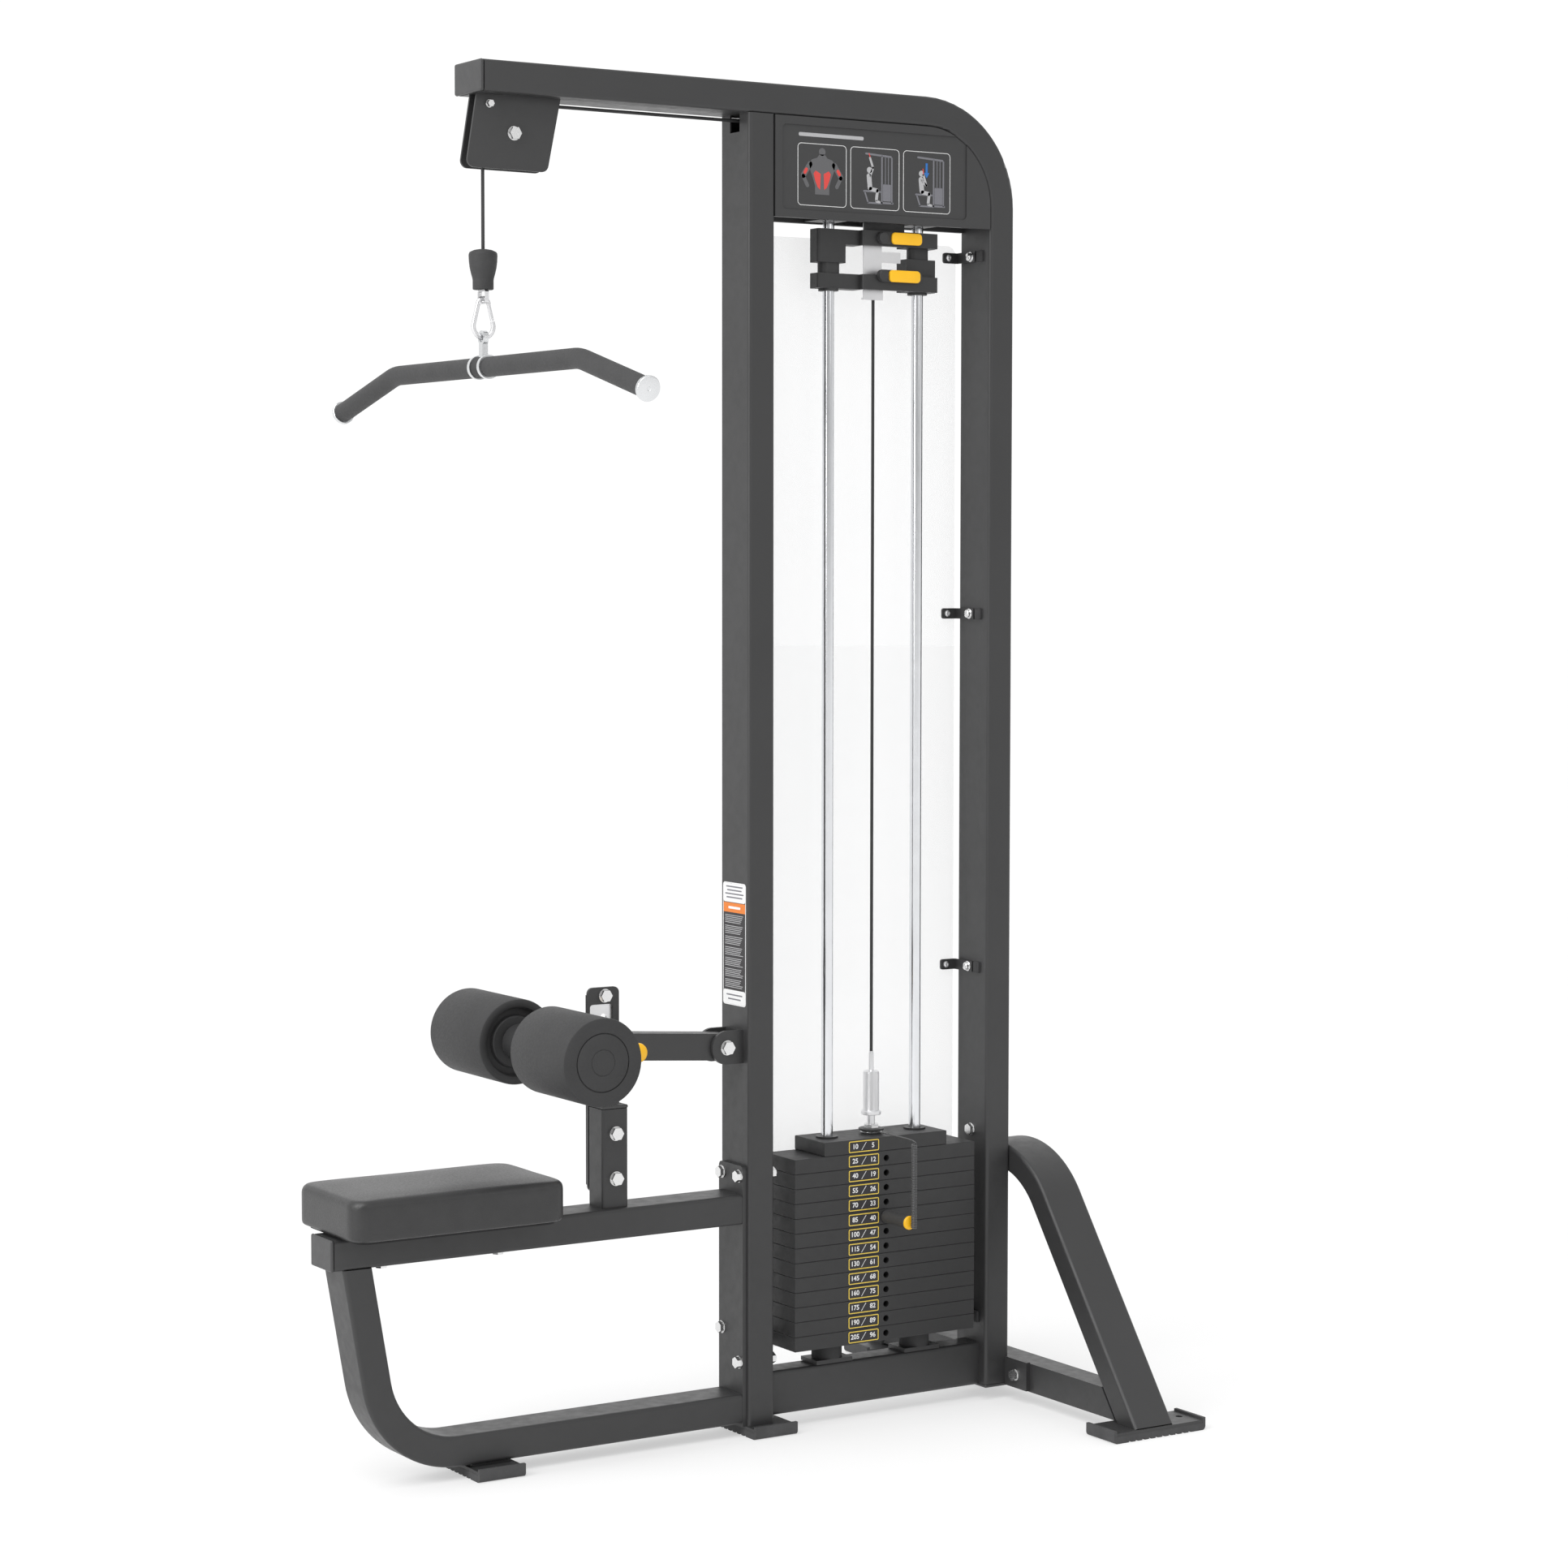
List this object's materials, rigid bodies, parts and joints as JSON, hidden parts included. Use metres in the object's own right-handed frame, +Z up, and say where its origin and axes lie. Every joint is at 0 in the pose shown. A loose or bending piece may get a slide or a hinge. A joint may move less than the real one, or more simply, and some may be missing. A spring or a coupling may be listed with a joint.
{
  "type": "lat pulldown machine",
  "caption": "Selectorised lat pulldown station: bent-tube frame, weight stack on guide rods, cable over pulleys to a wide bar, seat and thigh rollers",
  "frame": {"origin": "on the floor under the centre of the front upright", "axes": "+Z up, +X from the seat to the weight stack, +Y to the user's left hand side; the machine stands in the XZ plane"},
  "size_m": [1.437, 1.0506, 2.241],
  "materials": {
    "charcoal_paint": "satin powder coat",
    "plate_paint": "matt black paint",
    "black_plastic": "moulded, fine grain",
    "yellow_plastic": "moulded, slight gloss",
    "rubber": "matt, ribbed underneath",
    "foam": "closed-cell foam with a smooth skin",
    "upholstery": "grained vinyl",
    "board": "black-stained plywood",
    "chrome": "polished",
    "zinc_steel": "zinc plated",
    "clear_plastic": "translucent sheet"
  },
  "bodies": {
    "frame": {"front_upright": "charcoal_paint", "main_tube": "charcoal_paint", "base_beam": "charcoal_paint", "tube_end_caps": "black_plastic", "seat_back_plate": "charcoal_paint", "seat_beam": "charcoal_paint", "seat_leg_tube": "charcoal_paint", "foot_plates": "charcoal_paint", "foot_shoes": "rubber", "rear_arch": "charcoal_paint", "rear_cross_tube": "charcoal_paint", "sign_panel_front": "charcoal_paint", "sign_panel_rear": "charcoal_paint", "rod_end_holders": "charcoal_paint", "rear_shroud": "clear_plastic", "shroud_clips": "charcoal_paint", "guide_rods": "chrome", "stack_bumpers": "rubber", "pulley_brackets": "charcoal_paint", "pulley_axles": "zinc_steel", "cable_over_pulleys": "black_plastic", "stack_cable": "black_plastic", "bar_cable": "black_plastic", "seat_board": "board", "seat_pad": "upholstery", "roller_post": "charcoal_paint", "roller_rail": "charcoal_paint", "rail_hole_strip": "zinc_steel", "roller_clevis": "charcoal_paint", "frame_bolts": "zinc_steel", "resting_weight_plates": "plate_paint", "addon_bracket": "zinc_steel"},
    "front_pulley": {"front_pulley": "black_plastic"},
    "rear_pulley": {"rear_pulley": "black_plastic"},
    "lifted_stack": {"top_weight_plate": "plate_paint", "weight_plate_01": "plate_paint", "weight_plate_02": "plate_paint", "weight_plate_03": "plate_paint", "weight_plate_04": "plate_paint", "weight_plate_05": "plate_paint", "selector_rod": "zinc_steel", "cable_end_fitting": "zinc_steel", "rod_bushings": "black_plastic", "pin_lanyard": "black_plastic"},
    "selector_pin": {"selector_pin": "black_plastic"},
    "bar_hook": {"cable_stopper": "rubber", "cable_shackle": "chrome"},
    "carabiner": {"carabiner": "chrome"},
    "carabiner_gate": {"carabiner_gate": "chrome"},
    "bar": {"lat_bar": "chrome", "bar_grips": "rubber", "bar_end_caps": "chrome"},
    "roller_arm": {"roller_arm": "charcoal_paint"},
    "pull_pin": {"arm_pull_pin": "yellow_plastic"},
    "roller_right": {"foam_roller_right": "foam"},
    "roller_left": {"foam_roller_left": "foam"},
    "upper_addon": {"upper_addon_weight": "plate_paint"},
    "lower_addon": {"lower_addon_weight": "plate_paint"},
    "upper_latch": {"upper_latch_lever": "yellow_plastic"},
    "lower_latch": {"lower_latch_lever": "yellow_plastic"}
  },
  "joints": [
    {"name": "stack_lift", "type": "slide", "parent": "frame", "child": "lifted_stack", "axis": [0, 0, 1], "range_m": [0, 0.8], "deforming": ["stack_cable"]},
    {"name": "bar_drop", "type": "slide", "parent": "frame", "child": "bar_hook", "axis": [0, 0, -1], "range_m": [0, 0.8], "deforming": ["bar_cable"]},
    {"name": "front_pulley_spin", "type": "hinge", "parent": "frame", "child": "front_pulley", "pos_m": [-0.4415, 0, 2.1325], "axis": [0, 1, 0], "continuous": true},
    {"name": "rear_pulley_spin", "type": "hinge", "parent": "frame", "child": "rear_pulley", "pos_m": [0.2, 0, 2.1325], "axis": [0, 1, 0], "continuous": true},
    {"name": "selector_pin_pull", "type": "slide", "parent": "lifted_stack", "child": "selector_pin", "axis": [0, -1, 0], "range_m": [0, 0.075], "deforming": ["pin_lanyard"]},
    {"name": "bar_swivel", "type": "hinge", "parent": "bar_hook", "child": "carabiner", "pos_m": [-0.49, 0, 1.8691], "axis": [0, 0, 1], "range_deg": [-22, 22]},
    {"name": "gate_open", "type": "hinge", "parent": "carabiner", "child": "carabiner_gate", "pos_m": [-0.47509, 0, 1.84148], "axis": [0, -1, 0], "range_deg": [0, 18], "stiffness_Nm_per_rad": 0.2, "springref_deg": -11.46},
    {"name": "bar_rock", "type": "hinge", "parent": "carabiner", "child": "bar", "pos_m": [-0.49, 0, 1.8115], "axis": [1, 0, 0], "range_deg": [-15, 15]},
    {"name": "arm_tilt", "type": "hinge", "parent": "frame", "child": "roller_arm", "pos_m": [-0.056, 0, 0.655], "axis": [0, 1, 0], "range_deg": [-12, 12]},
    {"name": "pull_pin_slide", "type": "slide", "parent": "roller_arm", "child": "pull_pin", "axis": [0, -1, 0], "range_m": [0, 0.012], "stiffness_N_per_m": 800, "springref_m": -0.01},
    {"name": "roller_right_spin", "type": "hinge", "parent": "roller_arm", "child": "roller_right", "pos_m": [-0.40603, 0, 0.68101], "axis": [0, 1, 0], "continuous": true},
    {"name": "roller_left_spin", "type": "hinge", "parent": "roller_arm", "child": "roller_left", "pos_m": [-0.40603, 0, 0.68101], "axis": [0, 1, 0], "continuous": true},
    {"name": "upper_addon_slide", "type": "slide", "parent": "frame", "child": "upper_addon", "axis": [0, 0, -1], "range_m": [0, 0.45]},
    {"name": "lower_addon_slide", "type": "slide", "parent": "frame", "child": "lower_addon", "axis": [0, 0, -1], "range_m": [0, 0.45]},
    {"name": "upper_latch_turn", "type": "hinge", "parent": "upper_addon", "child": "upper_latch", "pos_m": [0.247, -0.0313, 2.0015], "axis": [0, 1, 0], "range_deg": [0, 20], "stiffness_Nm_per_rad": 0.3, "springref_deg": -20.05},
    {"name": "lower_latch_turn", "type": "hinge", "parent": "lower_addon", "child": "lower_latch", "pos_m": [0.247, -0.0313, 1.9385], "axis": [0, 1, 0], "range_deg": [0, 20], "stiffness_Nm_per_rad": 0.3, "springref_deg": -20.05}
  ],
  "couplings": [
    {"joint": "bar_drop", "follows": "stack_lift", "ratio": 1},
    {"joint": "front_pulley_spin", "follows": "stack_lift", "rad_per_m": -20.619},
    {"joint": "rear_pulley_spin", "follows": "stack_lift", "rad_per_m": -20.619},
    {"joint": "lower_addon_slide", "follows": "upper_addon_slide", "ratio": 1}
  ]
}
